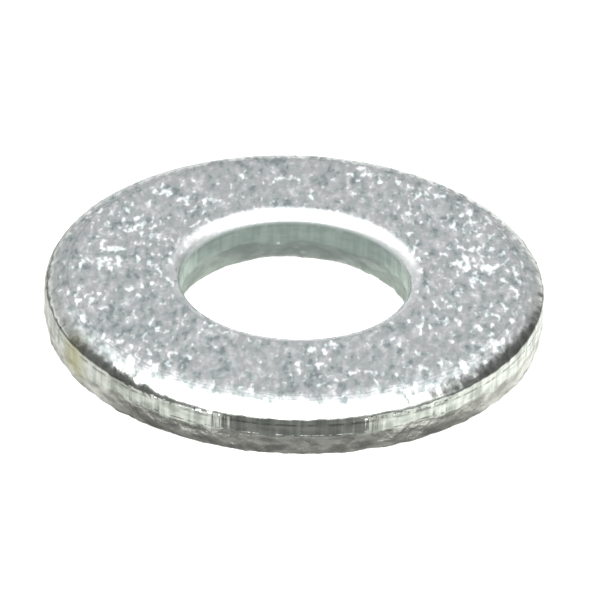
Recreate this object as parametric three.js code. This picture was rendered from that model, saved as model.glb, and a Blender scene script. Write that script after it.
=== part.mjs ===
// Flat washer: one ring blanked from sheet steel, its rim and its hole cut in one stroke of a
// compound die. Both cut edges show the same zones from the top down: an edge rolled over as
// the sheet is pulled in, a smooth upright land, and a fracture zone that leans away from the
// land. The lower face meets both fracture zones at a small rounded edge.
// Millimetres, +Z up along the hole's axis, origin at the centre of the lower bearing face.
import * as THREE from "three";

// Driving dimensions.
const OUTER_DIAMETER = 15.875;
const HOLE_DIAMETER = 7.3;
const THICKNESS = 1.7;
const RIM_ROLL_WIDTH = 1.05;
const RIM_ROLL_DROP = 0.43;
const HOLE_ROLL_WIDTH = 0.52;
const HOLE_ROLL_DROP = 0.33;
const RIM_FRACTURE_HEIGHT = 0.69;
const HOLE_FRACTURE_HEIGHT = 0.69;
const FRACTURE_LEAN = 0.08;
const LOWER_EDGE_RADIUS = 0.06;

// Fineness of the surface: faces round the ring, and half the faces on each rounded edge.
const FACES_AROUND = 96;
const HALF_FACES_PER_ROUND = 3;

const QUARTER_TURN = Math.PI / 2;

// The ring's section as a closed outline: x is the distance from the axis, y the height.
// It runs out along the lower face, up the rim, back along the upper face and down the hole.
function ringSection() {
  const rim = OUTER_DIAMETER / 2;
  const hole = HOLE_DIAMETER / 2;
  const rimFoot = rim - FRACTURE_LEAN - LOWER_EDGE_RADIUS;
  const holeFoot = hole + FRACTURE_LEAN + LOWER_EDGE_RADIUS;
  const rimShoulder = THICKNESS - RIM_ROLL_DROP;
  const holeShoulder = THICKNESS - HOLE_ROLL_DROP;

  const section = new THREE.Path();
  section.moveTo(holeFoot, 0);
  section.lineTo(rimFoot, 0);
  addRound(section, rimFoot, LOWER_EDGE_RADIUS, LOWER_EDGE_RADIUS, LOWER_EDGE_RADIUS, -QUARTER_TURN);
  section.lineTo(rim, RIM_FRACTURE_HEIGHT);
  section.lineTo(rim, rimShoulder);
  addRound(section, rim - RIM_ROLL_WIDTH, rimShoulder, RIM_ROLL_WIDTH, RIM_ROLL_DROP, 0);
  section.lineTo(hole + HOLE_ROLL_WIDTH, THICKNESS);
  addRound(section, hole + HOLE_ROLL_WIDTH, holeShoulder, HOLE_ROLL_WIDTH, HOLE_ROLL_DROP, QUARTER_TURN);
  section.lineTo(hole, HOLE_FRACTURE_HEIGHT);
  section.lineTo(hole + FRACTURE_LEAN, LOWER_EDGE_RADIUS);
  addRound(section, holeFoot, LOWER_EDGE_RADIUS, LOWER_EDGE_RADIUS, LOWER_EDGE_RADIUS, 2 * QUARTER_TURN);
  return section.getPoints(HALF_FACES_PER_ROUND);
}

// A quarter of an ellipse, anticlockwise from the angle where it starts.
function addRound(section, centreX, centreY, width, height, start) {
  section.absellipse(centreX, centreY, width, height, start, start + QUARTER_TURN, false, 0);
}

// Turns the section round the axis and stands that axis up along Z.
function ringGeometry() {
  const ring = new THREE.LatheGeometry(ringSection(), FACES_AROUND);
  ring.rotateX(QUARTER_TURN);
  return ring;
}

const zincPlatedSteel = new THREE.MeshStandardMaterial({
  color: 0xb9bebd,
  roughness: 0.35,
  metalness: 1,
});

const washerRing = new THREE.Mesh(ringGeometry(), zincPlatedSteel);
washerRing.name = "washer_ring";

const washer = new THREE.Group();
washer.add(washerRing);

export default washer;
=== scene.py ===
import math

import bpy
from mathutils import Matrix, Vector


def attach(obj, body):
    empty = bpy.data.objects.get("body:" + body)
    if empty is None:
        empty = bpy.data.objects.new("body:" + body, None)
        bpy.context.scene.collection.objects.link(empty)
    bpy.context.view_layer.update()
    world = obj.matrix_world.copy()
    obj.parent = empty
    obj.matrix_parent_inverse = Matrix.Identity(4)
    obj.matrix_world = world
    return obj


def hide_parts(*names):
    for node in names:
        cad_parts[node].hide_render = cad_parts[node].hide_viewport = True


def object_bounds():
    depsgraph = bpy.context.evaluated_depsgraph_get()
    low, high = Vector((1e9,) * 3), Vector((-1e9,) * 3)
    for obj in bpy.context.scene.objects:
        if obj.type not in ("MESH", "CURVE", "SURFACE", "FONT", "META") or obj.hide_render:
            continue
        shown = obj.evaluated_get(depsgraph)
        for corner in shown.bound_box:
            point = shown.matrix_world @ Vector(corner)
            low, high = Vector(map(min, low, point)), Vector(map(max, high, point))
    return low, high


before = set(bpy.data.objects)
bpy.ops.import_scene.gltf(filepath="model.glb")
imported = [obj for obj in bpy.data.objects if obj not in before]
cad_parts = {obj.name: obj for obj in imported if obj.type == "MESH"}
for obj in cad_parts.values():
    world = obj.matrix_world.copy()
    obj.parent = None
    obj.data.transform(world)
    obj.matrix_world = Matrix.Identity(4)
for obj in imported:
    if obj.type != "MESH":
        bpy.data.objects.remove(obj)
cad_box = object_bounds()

# Camera: a long lens that looks down on the washer from the front, held a little out of level.
# It stands about ten washer widths away, so the far side is hardly smaller than the near side.
low, high = cad_box
washer_centre = (low + high) / 2
washer_width = high.x - low.x
look_down = math.radians(31.8)
camera_roll = math.radians(2.04)
focal_length_mm = 317.6
camera_distance = 10.6 * washer_width
aim_right = 0.0117 * washer_width
aim_down = 0.0089 * washer_width

camera_data = bpy.data.cameras.new("camera")
camera = bpy.data.objects.new("camera", camera_data)
bpy.context.scene.collection.objects.link(camera)
bpy.context.scene.camera = camera
camera_data.lens = focal_length_mm
camera_data.clip_start = 0.1 * camera_distance
camera_data.clip_end = 10 * camera_distance
towards_camera = Vector((0, -math.cos(look_down), math.sin(look_down)))
camera_turn = towards_camera.to_track_quat("Z", "Y").to_matrix() @ Matrix.Rotation(camera_roll, 3, "Z")
camera_aim = washer_centre + camera_turn @ Vector((aim_right, -aim_down, 0))
camera_place = Matrix.Translation(camera_aim + camera_distance * towards_camera)
camera.matrix_world = camera_place @ camera_turn.to_4x4()


# Studio: white paper, a long soft box that hangs overhead and reaches down in front, grey walls
# behind and in front and dark cards left and right. So the flat metal looks grey, the edge that
# faces up and forward catches the light, and its steep parts at the sides go dark.
def linear_colour(hex_code):
    """A #RRGGBB sRGB colour as linear red, green, blue and an alpha of 1."""
    shares = [int(hex_code[i : i + 2], 16) / 255 for i in (1, 3, 5)]
    linear = [s / 12.92 if s <= 0.04045 else ((s + 0.055) / 1.055) ** 2.4 for s in shares]
    return (*linear, 1)


def add_node(tree, kind, inputs=(), stops=(), **settings):
    """Adds a shader node with its settings. An input takes a value, an output or another node,
    which stands for its first output in use. The stops of a colour ramp are pairs of a place and
    a #RRGGBB colour. The inputs 1 to 4 of a Map Range are the start and end of the range and what
    it gives there, 0 and 1 unless they are set."""
    node = tree.nodes.new(kind)
    for name, value in settings.items():
        setattr(node, name, value)
    for key, value in dict(inputs).items():
        if isinstance(value, bpy.types.Node):
            value = next(output for output in value.outputs if output.enabled)
        if isinstance(value, bpy.types.NodeSocket):
            tree.links.new(value, node.inputs[key])
        else:
            node.inputs[key].default_value = value
    for stop, hex_code in stops[1:-1]:
        node.color_ramp.elements.new(stop)
    for number, (stop, hex_code) in enumerate(stops):
        node.color_ramp.elements[number].position = stop
        node.color_ramp.elements[number].color = linear_colour(hex_code)
    return node


MM = 0.001
SMOOTH = {"interpolation_type": "SMOOTHSTEP"}
bpy.context.scene.view_settings.view_transform = "Standard"

# The paper is white to the eye. What the metal mirrors of it is a grey sheet, lighter to the
# right, with shades on it. A shade begins and is full at the first pair of shares of the way to
# the front, and at the second pair of radii in millimetres. Last is how much light it takes.
paper_size = 0.6
sheet_reach = 12 * MM
sheet_light_left = 0.76
sheet_light_right = 1.36
sheet_colour = "#F8F9F4"
straight_ahead = (0.035, -1, 0)
shade_at_foot = ((0.56, 0.76), (8.9, 8.5), 0.7)
patch_ahead = ((0.924, 0.953), (8.5, 8.9), 0.78)
dark_further_out = ((-0.9, -0.6), (12, 13), 0.84)

bpy.ops.object.select_all(action="DESELECT")
bpy.ops.mesh.primitive_plane_add(size=paper_size, location=(0, 0, low.z))
floor = bpy.context.object
floor.name = "floor"
paper = bpy.data.materials.new("white_paper")
paper.use_nodes = True
tree = paper.node_tree
paper_shader = tree.nodes["Principled BSDF"]
paper_shader.inputs["Base Color"].default_value = linear_colour("#E9E9E9")
paper_shader.inputs["Roughness"].default_value = 0.9
paper_shader.inputs["Specular IOR Level"].default_value = 0.1
spot = add_node(tree, "ShaderNodeTexCoord").outputs["Object"]
sideways = add_node(tree, "ShaderNodeSeparateXYZ", {"Vector": spot}).outputs["X"]
spot_level = add_node(tree, "ShaderNodeVectorMath", {0: spot, 1: (1, 1, 0)}, operation="MULTIPLY")
spot_radius = add_node(tree, "ShaderNodeVectorMath", {0: spot_level}, operation="LENGTH")
heading = add_node(tree, "ShaderNodeVectorMath", {0: spot_level}, operation="NORMALIZE")
ahead = add_node(tree, "ShaderNodeVectorMath", {0: heading, 1: straight_ahead}, operation="DOT_PRODUCT")
slope = {0: sideways, 1: -sheet_reach, 2: sheet_reach, 3: sheet_light_left, 4: sheet_light_right}
sheet_light = add_node(tree, "ShaderNodeMapRange", slope)
unshaded = 1
for (starts, full), (edge, core), depth in (shade_at_foot, patch_ahead, dark_further_out):
    in_sector = add_node(tree, "ShaderNodeMapRange", {0: ahead, 1: starts, 2: full}, **SMOOTH)
    in_ring = add_node(tree, "ShaderNodeMapRange", {0: spot_radius, 1: edge * MM, 2: core * MM}, **SMOOTH)
    shade = add_node(tree, "ShaderNodeMath", {0: in_sector, 1: in_ring}, operation="MULTIPLY")
    kept = add_node(tree, "ShaderNodeMath", {0: shade, 1: -depth, 2: 1}, operation="MULTIPLY_ADD")
    unshaded = add_node(tree, "ShaderNodeMath", {0: unshaded, 1: kept}, operation="MINIMUM")
shaded_light = add_node(tree, "ShaderNodeMath", {0: sheet_light, 1: unshaded}, operation="MULTIPLY")
sheet_glow = {"Color": linear_colour(sheet_colour), "Strength": shaded_light}
sheet = add_node(tree, "ShaderNodeEmission", sheet_glow)

# Inside the hole the sheet is greener, and darker in the middle than towards the wall.
hole_greens = ((0.3, "#B4BDBB"), (0.62, "#DFEAE3"))
hole_reach = 4 * MM
hole_edge = (3.6 * MM, 3.8 * MM)
off_middle = add_node(tree, "ShaderNodeMath", {0: sideways}, operation="ABSOLUTE")
towards_wall = add_node(tree, "ShaderNodeMapRange", {0: off_middle, 2: hole_reach})
hole_colour = add_node(tree, "ShaderNodeValToRGB", {0: towards_wall}, hole_greens)
hole_sheet = add_node(tree, "ShaderNodeEmission", {"Color": hole_colour})
beyond_hole = add_node(tree, "ShaderNodeMapRange", {0: spot_radius, 1: hole_edge[0], 2: hole_edge[1]})
mirrored = add_node(tree, "ShaderNodeMixShader", {0: beyond_hole, 1: hole_sheet, 2: sheet})
to_mirror = add_node(tree, "ShaderNodeLightPath").outputs["Is Glossy Ray"]
paper_look = add_node(tree, "ShaderNodeMixShader", {0: to_mirror, 1: paper_shader, 2: mirrored})
tree.links.new(paper_look.outputs[0], tree.nodes["Material Output"].inputs["Surface"])
floor.data.materials.append(paper)

# The soft box is an oval that starts behind the washer and reaches far out over the front.
softbox_height = 0.24
softbox_radiance = 2.6
softbox_data = bpy.data.lights.new("softbox", "AREA")
softbox_data.shape = "ELLIPSE"
softbox_data.size = 3 * softbox_height
softbox_data.size_y = 4.4 * softbox_height
softbox_data.energy = math.pi * softbox_radiance * softbox_data.size * softbox_data.size_y
softbox = bpy.data.objects.new("softbox", softbox_data)
bpy.context.scene.collection.objects.link(softbox)
softbox.location = (-0.19 * softbox_height, -1.8 * softbox_height, softbox_height)

# The room by direction: the grey of each side is a ramp from the horizon up, and all of them turn
# white overhead. Seen straight on, the room is as white as the paper.
card_greys = ((0.62, "#565656"), (0.8, "#AFAFAF"), (0.92, "#FFFFFF"))
front_greys = ((0.2, "#9C9C9C"), (0.42, "#FFFFFF"))
back_greys = (
    (0, "#FFFFFF"),
    (0.14, "#B8B8B8"),
    (0.3, "#AAAAAA"),
    (0.53, "#B3B3B3"),
    (0.6, "#BFBFBF"),
    (0.8, "#FFFFFF"),
)
straight_back = (-0.25, 0.97, 0)
room_strength = 1.4
room_seen = (1.2, 1.2, 1.2, 1)

world = bpy.data.worlds.new("studio_room")
bpy.context.scene.world = world
world.use_nodes = True
tree = world.node_tree
tree.nodes.clear()
direction = add_node(tree, "ShaderNodeTexCoord").outputs["Generated"]
upward = add_node(tree, "ShaderNodeSeparateXYZ", {"Vector": direction}).outputs["Z"]
level_part = add_node(tree, "ShaderNodeVectorMath", {0: direction, 1: (1, 1, 0)}, operation="MULTIPLY")
heading = add_node(tree, "ShaderNodeVectorMath", {0: level_part}, operation="NORMALIZE")
behind = add_node(tree, "ShaderNodeVectorMath", {0: heading, 1: straight_back}, operation="DOT_PRODUCT")
to_back = add_node(tree, "ShaderNodeMapRange", {0: behind, 1: 0.48, 2: 0.72}, **SMOOTH)
to_front = add_node(tree, "ShaderNodeMapRange", {0: behind, 1: -0.35, 2: -0.65}, **SMOOTH)
cards = add_node(tree, "ShaderNodeValToRGB", {0: upward}, card_greys)
back_wall = add_node(tree, "ShaderNodeValToRGB", {0: upward}, back_greys)
front_wall = add_node(tree, "ShaderNodeValToRGB", {0: upward}, front_greys)
walls = add_node(tree, "ShaderNodeMix", {0: to_back, 6: cards, 7: back_wall}, data_type="RGBA")
walls = add_node(tree, "ShaderNodeMix", {0: to_front, 6: walls, 7: front_wall}, data_type="RGBA")
room = add_node(tree, "ShaderNodeBackground", {"Color": walls, "Strength": room_strength})
backdrop = add_node(tree, "ShaderNodeBackground", {"Color": room_seen})
to_camera = add_node(tree, "ShaderNodeLightPath").outputs["Is Camera Ray"]
room_look = add_node(tree, "ShaderNodeMixShader", {0: to_camera, 1: room, 2: backdrop})
add_node(tree, "ShaderNodeOutputWorld", {"Surface": room_look})


# Washer ring: low-carbon sheet steel, blanked in one stroke of a compound die, tumbled, then
# barrel plated with bright zinc and a clear passivate. Its cut edges show, from the top down,
# a rolled-over edge, a smooth land scored by the die, and a rough zone where the steel tore.
thickness = high.z - low.z
rim_radius = washer_width / 2
hole_radius = 3.65 * MM
rim_roll_width = 1.05 * MM
rim_roll_drop = 0.43 * MM
hole_roll_width = 0.52 * MM
hole_roll_drop = 0.33 * MM
fracture_height = 0.69 * MM
fracture_lean = 0.08 * MM
lower_edge_radius = 0.06 * MM
faces_around = 600
section_step = 0.055 * MM
underside_step = 0.16 * MM
roll_length_per_width = 1.15
touching = 0.001 * MM


def select_where(mesh, test):
    """In edit mode, selects the vertices whose place passes the test, and nothing else."""
    bpy.ops.mesh.select_all(action="DESELECT")
    bpy.ops.object.mode_set(mode="OBJECT")
    for vertex in mesh.vertices:
        vertex.select = test(vertex.co)
    bpy.ops.object.mode_set(mode="EDIT")


def at_corner(place, x, z):
    return math.hypot(place.x - x, place.z - z) < touching


# The section is drawn at the right of the axis: a rectangle, its foot pulled in where the steel
# tore, and its corners rounded. A corner rounded while the section is stretched upwards and
# then let back is a quarter of an ellipse, wide on the face and short down the wall.
bpy.ops.object.select_all(action="DESELECT")
bpy.ops.mesh.primitive_plane_add(size=1, rotation=(math.pi / 2, 0, 0))
washer = bpy.context.object
washer.name = "washer_ring_plated"
bpy.ops.object.transform_apply(location=False, rotation=True, scale=False)
bpy.ops.object.mode_set(mode="EDIT")
bpy.ops.transform.resize(value=(rim_radius - hole_radius, 1, thickness))
bpy.ops.transform.translate(value=((rim_radius + hole_radius) / 2, 0, low.z + thickness / 2))
bpy.ops.mesh.bisect(plane_co=(0, 0, low.z + fracture_height), plane_no=(0, 0, 1))
for wall_radius, lean in ((rim_radius, -fracture_lean), (hole_radius, fracture_lean)):
    select_where(washer.data, lambda place: at_corner(place, wall_radius, low.z))
    bpy.ops.transform.translate(value=(lean, 0, 0))
    bpy.ops.mesh.bevel(offset=lower_edge_radius, segments=3, affect="VERTICES")
for wall_radius, roll_width, roll_drop in (
    (rim_radius, rim_roll_width, rim_roll_drop),
    (hole_radius, hole_roll_width, hole_roll_drop),
):
    stretch = roll_width / roll_drop
    roll_steps = round(roll_length_per_width * roll_width / section_step)
    bpy.ops.mesh.select_all(action="SELECT")
    bpy.ops.transform.resize(value=(1, 1, stretch), center_override=(0, 0, high.z))
    select_where(washer.data, lambda place: at_corner(place, wall_radius, high.z))
    bpy.ops.mesh.bevel(offset=roll_width, segments=roll_steps, affect="VERTICES")
    bpy.ops.mesh.select_all(action="SELECT")
    bpy.ops.transform.resize(value=(1, 1, 1 / stretch), center_override=(0, 0, high.z))

# Only the outline is kept, and its straight runs are cut into short steps. It is spun through an
# eighth of a turn, and copies of that close the ring.
bpy.ops.mesh.select_all(action="SELECT")
bpy.ops.mesh.delete(type="ONLY_FACE")
select_where(washer.data, lambda place: abs(place.z - low.z - fracture_height) < touching)
bpy.ops.mesh.delete(type="EDGE")
bpy.ops.object.mode_set(mode="OBJECT")
corners = washer.data.vertices
runs = [tuple(corners[i].co.copy() for i in edge.vertices) for edge in washer.data.edges]
bpy.ops.object.mode_set(mode="EDIT")
for start, end in runs:
    under = max(start.z, end.z) < low.z + touching
    steps = round((start - end).length / (underside_step if under else section_step))
    if steps > 2:
        select_where(washer.data, lambda place: place in (start, end))
        bpy.ops.mesh.subdivide(number_cuts=steps - 1)
bpy.ops.mesh.select_all(action="SELECT")
eighth = math.pi / 4
bpy.ops.mesh.spin(steps=faces_around // 8, angle=eighth, center=(0, 0, 0), axis=(0, 0, 1))
for turn in (eighth, 2 * eighth, 4 * eighth):
    bpy.ops.mesh.select_all(action="SELECT")
    bpy.ops.mesh.duplicate()
    bpy.ops.transform.rotate(value=turn, orient_axis="Z", center_override=(0, 0, 0))
bpy.ops.mesh.select_all(action="SELECT")
bpy.ops.mesh.remove_doubles(threshold=touching)
bpy.ops.mesh.normals_make_consistent(inside=False)
bpy.ops.object.mode_set(mode="OBJECT")
bpy.ops.object.shade_smooth()


# Relief: worn into the mesh by displacing it, each kind where it belongs. A zone gives every
# vertex a share by its radius and its height, and fades out where it ends.
def smooth_step(value, start, end):
    share = min(max((value - start) / (end - start), 0), 1)
    return share * share * (3 - 2 * share)


def zone(piece, name, share):
    """Marks each vertex by the share its place gets, for the reliefs and for the plating."""
    shares = [share(math.hypot(v.co.x, v.co.y), v.co.z) for v in piece.data.vertices]
    mark = piece.data.attributes.new(name + "_share", "FLOAT", "POINT")
    mark.data.foreach_set("value", shares)
    group = piece.vertex_groups.new(name=name)
    for index, weight in enumerate(shares):
        if weight > 0:
            group.add([index], weight, "REPLACE")


def wear(piece, pattern, depth, group="", scale=(1, 1, 1), direction="NORMAL", rest=0.5, **settings):
    """Displaces the piece by a pattern of that depth; the pattern is drawn out by scale."""
    texture = bpy.data.textures.new(pattern, pattern)
    for name, value in settings.items():
        setattr(texture, name, value)
    guide = bpy.data.objects.new("guide", None)
    bpy.context.scene.collection.objects.link(guide)
    guide.scale = scale
    bpy.context.view_layer.update()
    relief = piece.modifiers.new(pattern, "DISPLACE")
    relief.texture = texture
    relief.texture_coords = "OBJECT"
    relief.texture_coords_object = guide
    relief.strength = depth
    relief.mid_level = rest
    relief.direction = direction
    relief.vertex_group = group
    bpy.ops.object.modifier_apply(modifier=relief.name)
    bpy.data.objects.remove(guide)


wall_depth = 0.2 * MM
between_walls = 6 * MM
roll_foot_height = high.z - rim_roll_drop


def on_wall(radius):
    """Just inside the rim or just outside the hole."""
    return radius > rim_radius - wall_depth or radius < hole_radius + wall_depth


def torn(radius, z):
    """Both walls below the line where the steel tore."""
    below_line = smooth_step(z, fracture_height + 0.02 * MM, fracture_height - 0.08 * MM)
    return on_wall(radius) * below_line


def scored(radius, z):
    """The land: both walls from that line up to the roll."""
    above_line = smooth_step(z, fracture_height - 0.02 * MM, fracture_height + 0.06 * MM)
    below_roll = smooth_step(z, high.z - 0.35 * MM, high.z - 0.5 * MM)
    return on_wall(radius) * above_line * below_roll


def beside_line(radius, z):
    """Both walls, most of all at the line itself."""
    above_foot = smooth_step(z, 0.1 * MM, fracture_height - 0.05 * MM)
    below_roll = smooth_step(z, roll_foot_height, fracture_height + 0.05 * MM)
    return on_wall(radius) * above_foot * below_roll


def roll_foot(radius, z):
    """Round the rim, most of all where the roll meets the land."""
    on_land = smooth_step(z, fracture_height + 0.05 * MM, roll_foot_height)
    on_roll = smooth_step(z, high.z - 0.03 * MM, roll_foot_height)
    return (radius > between_walls) * on_land * on_roll


def hole_roll(radius, z):
    """The rounded upper edge of the hole."""
    inward = smooth_step(radius, hole_radius + 0.5 * MM, hole_radius + 0.2 * MM)
    return inward * smooth_step(z, high.z - 0.45 * MM, high.z - 0.25 * MM)


def faces(radius, z):
    """The upper face and, more and more faintly, the rolls round it, and the lower face."""
    on_top = smooth_step(z, roll_foot_height, high.z - 0.05 * MM)
    underneath = smooth_step(z, 0.02 * MM, 0)
    return max(0.3 * on_top + 0.7 * on_top**4, underneath)


zone(washer, "faces", faces)
zone(washer, "hole_roll", hole_roll)
zone(washer, "torn", torn)
zone(washer, "scored", scored)
zone(washer, "beside_line", beside_line)
zone(washer, "roll_foot", roll_foot)

# The foot of the roll reaches lower towards the left and wavers. The line where the steel tore
# wanders further; both patterns stay the same all the way up, so that they move a line as a
# whole. Below the tear the wall is lumpy, and above it the die has left upright marks. The whole
# ring is uneven by a hair from its tumbling.
same_upwards = (1, 1, 50)
drawn_upwards = (1, 1, 12)
wear(washer, "BLEND", 0.12 * MM, "roll_foot", scale=(rim_radius,) * 3, direction="Z", rest=1)
wear(washer, "CLOUDS", 0.12 * MM, "roll_foot", scale=same_upwards, direction="Z", noise_scale=0.4 * MM)
wear(washer, "CLOUDS", 0.4 * MM, "beside_line", scale=same_upwards, direction="Z", noise_scale=0.9 * MM)
wear(washer, "CLOUDS", 0.12 * MM, "torn", noise_scale=0.45 * MM, noise_depth=2)
wear(washer, "CLOUDS", 0.035 * MM, "scored", scale=drawn_upwards, noise_scale=0.28 * MM, noise_depth=1)
wear(washer, "CLOUDS", 0.008 * MM, noise_scale=1.2 * MM, noise_depth=2)

# Bright zinc plate: a soft mirror of crystals that each lie a little differently, so that here
# and there one faces the light and sparkles. It is duller and darker where the steel tore. What
# differs between the hole and the rim is picked by a Map Range of on_rim, the hole's value first.
zinc = bpy.data.materials.new("bright_zinc_plate")
zinc.use_nodes = True
tree = zinc.node_tree
shader = tree.nodes["Principled BSDF"]
shader.inputs["Metallic"].default_value = 1
coordinates = add_node(tree, "ShaderNodeTexCoord")
place = coordinates.outputs["Object"]
across, backward, height = add_node(tree, "ShaderNodeSeparateXYZ", {"Vector": place}).outputs
place_level = add_node(tree, "ShaderNodeVectorMath", {0: place, 1: (1, 1, 0)}, operation="MULTIPLY")
radius = add_node(tree, "ShaderNodeVectorMath", {0: place_level}, operation="LENGTH")
on_rim = add_node(tree, "ShaderNodeMath", {0: radius, 1: between_walls}, operation="GREATER_THAN")
face_share, hole_roll_share, torn_share, scored_share = (
    add_node(tree, "ShaderNodeAttribute", attribute_name=name + "_share").outputs["Fac"]
    for name in ("faces", "hole_roll", "torn", "scored")
)

# The chance patterns, by the size of their grain. Zinc crystals and the grit of a torn wall are
# finer than this; they are drawn 0.15 to 0.3 mm wide so that they show. The crystals are drawn
# out from front to back, the die's marks stand upright, and the mottle of the walls lies flat.
crystal_width = 0.2 * MM
tone_width = 0.26 * MM
glint_width = 0.3 * MM
grit_width = 0.15 * MM
crowd_width = 1.6 * MM
streak_width = 0.22 * MM
mottle_width = 0.7 * MM
ring_width = 0.11 * MM

drawn_out = add_node(tree, "ShaderNodeMapping", {"Vector": place, "Scale": (1, 0.5, 1)})
standing = add_node(tree, "ShaderNodeMapping", {"Vector": place, "Scale": (1, 1, 0.08)})
lying = add_node(tree, "ShaderNodeMapping", {"Vector": place, "Scale": (1, 1, 2.5)})
tone, crystals, streaks, mottle, glints, grit, crowd = (
    add_node(tree, "ShaderNodeTexNoise", {"Vector": run, "Scale": 1 / width, "Detail": detail})
    for run, width, detail in (
        (drawn_out, tone_width, 2),
        (drawn_out, crystal_width, 1),
        (standing, streak_width, 2),
        (lying, mottle_width, 3),
        (place, glint_width, 1),
        (place, grit_width, 2),
        (place, crowd_width, 2),
    )
)

# The colours. Flat faces are a cool grey, lighter and darker by crystal: partly the crystals' own tone,
# partly a painted sparkle where the lightest greys stand in for crystals catching the light. The walls
# are a little greener: streaked and mottled on the land, duller and darker where the steel tore, and
# calmer in the hole than on the rim.
crystal_greys_and_sparkle = ((0.3, "#A4AEB1"), (0.45, "#CFD7D6"), (0.57, "#DADCDE"), (0.72, "#F5F8F8"))
land_greys = ((0.41, "#B8BDB7"), (0.5, "#D5DBD4"), (0.59, "#F0F3EE"))
torn_greys = ((0.36, "#A8A8A4"), (0.5, "#CACAC5"), (0.62, "#EAEAE4"))
calm_land = linear_colour("#CCD6D0")
calm_torn = linear_colour("#B1B8B3")
# A dark grey for the painted shade line where the roll ends.
painted_shade_line_grey = linear_colour("#6E6F6D")
ring_grey = linear_colour("#909594")
straw = linear_colour("#BFBA8C")
# A near white for the painted highlight on the roll of the hole.
painted_highlight_white = linear_colour("#F6F8F8")

# The lightest crystal greys are painted sparkle, standing in for crystals catching the light.
face_colour_and_sparkle = add_node(tree, "ShaderNodeValToRGB", {0: tone}, crystal_greys_and_sparkle)
streaks_and_mottle = add_node(tree, "ShaderNodeMix", {0: 0.5, 2: streaks, 3: mottle})
land_colour = add_node(tree, "ShaderNodeValToRGB", {0: streaks_and_mottle}, land_greys)
torn_colour = add_node(tree, "ShaderNodeValToRGB", {0: mottle}, torn_greys)

# A soft, patchy line of painted shade runs round where the roll ends, wider and higher up in the
# hole: a dark grey in the colour, standing in for the dark that the roll's steep end mirrors.
shade_line_height = add_node(tree, "ShaderNodeMapRange", {0: on_rim, 3: 1.3 * MM, 4: 1.1 * MM})
shade_line_width = add_node(tree, "ShaderNodeMapRange", {0: on_rim, 3: 0.14 * MM, 4: 0.06 * MM})
above_shade_line = add_node(tree, "ShaderNodeMath", {0: height, 1: shade_line_height}, operation="SUBTRACT")
off_shade_line = add_node(tree, "ShaderNodeMath", {0: above_shade_line}, operation="ABSOLUTE")
in_shade_line = add_node(tree, "ShaderNodeMapRange", {0: off_shade_line, 1: shade_line_width, 2: 0.01 * MM})
patchy = add_node(tree, "ShaderNodeMapRange", {0: glints, 1: 0.4, 2: 0.55, 3: 0.1, 4: 0.65})
painted_shade_line = add_node(tree, "ShaderNodeMath", {0: in_shade_line, 1: patchy}, operation="MULTIPLY")
land_colour = add_node(tree, "ShaderNodeMix", {0: painted_shade_line, 6: land_colour, 7: painted_shade_line_grey}, data_type="RGBA")
calm = add_node(tree, "ShaderNodeMapRange", {0: on_rim, 3: 0.65, 4: 0})
land_colour = add_node(tree, "ShaderNodeMix", {0: calm, 6: land_colour, 7: calm_land}, data_type="RGBA")
torn_colour = add_node(tree, "ShaderNodeMix", {0: calm, 6: torn_colour, 7: calm_torn}, data_type="RGBA")

# The roll at the rim was drawn out as it bent, and that shows as faint, wavering rings.
ring_waver = 0.2 * MM
wavering = add_node(tree, "ShaderNodeMath", {0: glints, 1: ring_waver, 2: radius}, operation="MULTIPLY_ADD")
ring_grain = {"W": wavering, "Scale": 1 / ring_width}
rings = add_node(tree, "ShaderNodeTexNoise", ring_grain, noise_dimensions="1D")
faint = add_node(tree, "ShaderNodeMapRange", {0: rings, 1: 0.55, 2: 0.35, 4: 0.3})
outer = add_node(tree, "ShaderNodeMapRange", {0: radius, 1: 6.9 * MM, 2: 7.1 * MM})
upper = add_node(tree, "ShaderNodeMapRange", {0: height, 1: 1.36 * MM, 2: 1.44 * MM})
on_rim_roll = add_node(tree, "ShaderNodeMath", {0: outer, 1: upper}, operation="MULTIPLY")
ringed = add_node(tree, "ShaderNodeMath", {0: on_rim_roll, 1: faint}, operation="MULTIPLY")
face_colour_and_sparkle = add_node(tree, "ShaderNodeMix", {0: ringed, 6: face_colour_and_sparkle, 7: ring_grey}, data_type="RGBA")

# Faces, land and torn wall come together. The passivate has left a straw stain low on the left.
# On the roll of the hole a highlight is painted in, whiter and rougher, most of all at the back.
smooth_parts = {0: face_share, 6: land_colour, 7: face_colour_and_sparkle}
smooth_colour = add_node(tree, "ShaderNodeMix", smooth_parts, data_type="RGBA")
colour = add_node(tree, "ShaderNodeMix", {0: torn_share, 6: smooth_colour, 7: torn_colour}, data_type="RGBA")
stain_middle = (-6.8 * MM, -4.1 * MM, 0.85 * MM)
from_stain = add_node(tree, "ShaderNodeVectorMath", {0: place, 1: stain_middle}, operation="DISTANCE")
stained = add_node(tree, "ShaderNodeMapRange", {0: from_stain, 1: 1 * MM, 2: 0.2 * MM, 4: 0.7}, **SMOOTH)
colour = add_node(tree, "ShaderNodeMix", {0: stained, 6: colour, 7: straw}, data_type="RGBA")
highlight_towards_back = add_node(tree, "ShaderNodeMapRange", {0: backward, 1: -0.4 * MM, 2: 1.9 * MM, 3: 0.4}, **SMOOTH)
painted_highlight = add_node(tree, "ShaderNodeMath", {0: hole_roll_share, 1: highlight_towards_back}, operation="MULTIPLY")
colour = add_node(tree, "ShaderNodeMix", {0: painted_highlight, 6: colour, 7: painted_highlight_white}, data_type="RGBA")
tree.links.new(colour.outputs[2], shader.inputs["Base Color"])

plate_roughness = 0.2
torn_roughness = 0.36
# The painted highlight on the hole's roll is made rougher too, to soften it.
highlight_roughness = 0.48
dull = add_node(tree, "ShaderNodeMapRange", {0: torn_share, 3: plate_roughness, 4: torn_roughness})
roughness = add_node(tree, "ShaderNodeMapRange", {0: painted_highlight, 3: dull, 4: highlight_roughness})
tree.links.new(roughness.outputs[0], shader.inputs["Roughness"])

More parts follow.
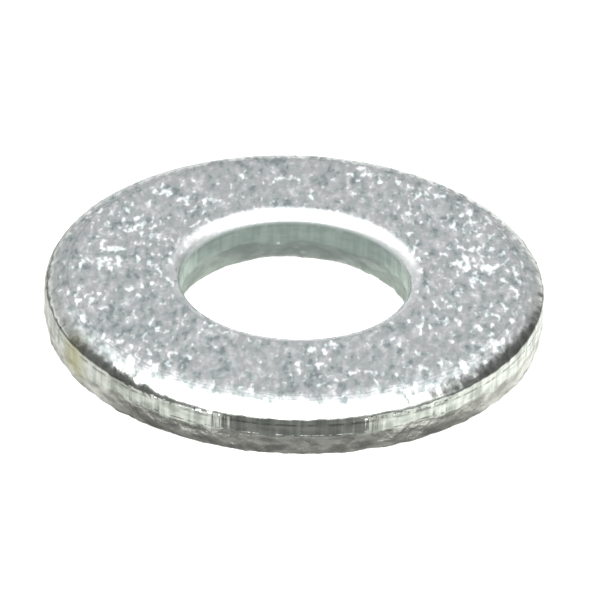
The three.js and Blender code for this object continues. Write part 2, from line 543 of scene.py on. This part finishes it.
# Chance leans each crystal to a side and back or forward, and a few lean well forward: more of
# them where the crowd is thick, and towards the left and right.
luck_x, luck_y, luck_z = add_node(tree, "ShaderNodeSeparateXYZ", {0: crystals.outputs["Color"]}).outputs
odds = add_node(tree, "ShaderNodeMath", {0: crowd, 1: 0.6, 2: luck_y}, operation="MULTIPLY_ADD")
aside = add_node(tree, "ShaderNodeMath", {0: across}, operation="ABSOLUTE")
more = add_node(tree, "ShaderNodeMapRange", {0: aside, 1: 2.5 * MM, 2: 5.5 * MM, 3: -0.03, 4: 0.04})
odds = add_node(tree, "ShaderNodeMath", {0: odds, 1: more}, operation="ADD")
forward_lean = add_node(tree, "ShaderNodeMapRange", {0: odds, 1: 0.87, 2: 1.05, 3: 0, 4: -0.26})
back_lean = add_node(tree, "ShaderNodeMapRange", {0: luck_z, 1: 0.3, 2: 0.7, 3: -0.06, 4: 0.08})
any_lean = add_node(tree, "ShaderNodeMath", {0: forward_lean, 1: back_lean}, operation="ADD")
side_lean = add_node(tree, "ShaderNodeMapRange", {0: luck_x, 1: 0.3, 2: 0.7, 3: -0.12, 4: 0.12})
lean = add_node(tree, "ShaderNodeCombineXYZ", {"X": side_lean, "Y": any_lean})
face_lean = add_node(tree, "ShaderNodeVectorMath", {0: lean, "Scale": face_share}, operation="SCALE")

# Two crests catch the light on the front of the rim: a thin broken line where the steel tore, and
# a few dots where the roll ends, left and right of the middle.
line_lift = 0.42
dot_lift = add_node(tree, "ShaderNodeMapRange", {0: aside, 1: 1.4 * MM, 2: 2.4 * MM, 4: 0.62})
lift = 0
for crest, width, spots, starts, full, most in (
    (0.74 * MM, 0.045 * MM, glints, 0.42, 0.52, line_lift),
    (1.19 * MM, 0.09 * MM, grit, 0.5, 0.6, dot_lift),
):
    above_crest = add_node(tree, "ShaderNodeMath", {0: height, 1: crest}, operation="SUBTRACT")
    off_crest = add_node(tree, "ShaderNodeMath", {0: above_crest}, operation="ABSOLUTE")
    on_crest = add_node(tree, "ShaderNodeMapRange", {0: off_crest, 1: width, 2: 0}, **SMOOTH)
    spot_lift = add_node(tree, "ShaderNodeMapRange", {0: spots, 1: starts, 2: full, 4: most})
    crest_lift = add_node(tree, "ShaderNodeMath", {0: on_crest, 1: spot_lift}, operation="MULTIPLY")
    lift = add_node(tree, "ShaderNodeMath", {0: crest_lift, 1: lift}, operation="ADD")
at_front = add_node(tree, "ShaderNodeMapRange", {0: backward, 1: -5.8 * MM, 2: -6.6 * MM})
lift = add_node(tree, "ShaderNodeMath", {0: lift, 1: at_front}, operation="MULTIPLY")
raised = add_node(tree, "ShaderNodeCombineXYZ", {"Z": lift})

# The leans are added to the surface's own normal, which a Normal Map takes as a colour from 0 to 1.
normal = coordinates.outputs["Normal"]
half = (0.5, 0.5, 0.5)
leaning = add_node(tree, "ShaderNodeVectorMath", {0: normal, 1: face_lean}, operation="ADD")
leaning = add_node(tree, "ShaderNodeVectorMath", {0: leaning, 1: raised}, operation="ADD")
leaning = add_node(tree, "ShaderNodeVectorMath", {0: leaning}, operation="NORMALIZE")
as_colour = add_node(tree, "ShaderNodeVectorMath", {0: leaning, 1: half, 2: half}, operation="MULTIPLY_ADD")
facets = add_node(tree, "ShaderNodeNormalMap", {"Color": as_colour}, space="OBJECT")

# Fine grit, faint on the plate and strong on the torn steel, above all on the rim. The die's
# upright marks are finer in the hole than on the rim.
torn_strength = add_node(tree, "ShaderNodeMapRange", {0: on_rim, 3: 0.3, 4: 1})
grit_strength = add_node(tree, "ShaderNodeMapRange", {0: torn_share, 3: 0.1, 4: torn_strength})
grit_relief = {"Height": grit, "Distance": 0.06 * MM, "Strength": grit_strength, "Normal": facets}
gritty = add_node(tree, "ShaderNodeBump", grit_relief)
mark_depth = add_node(tree, "ShaderNodeMapRange", {0: on_rim, 3: 0.015 * MM, 4: 0.06 * MM})
mark_relief = {"Height": streaks, "Distance": mark_depth, "Strength": scored_share, "Normal": gritty}
marked = add_node(tree, "ShaderNodeBump", mark_relief)
tree.links.new(marked.outputs["Normal"], shader.inputs["Normal"])
washer.data.materials.append(zinc)
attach(washer, "root")
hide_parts("washer_ring")
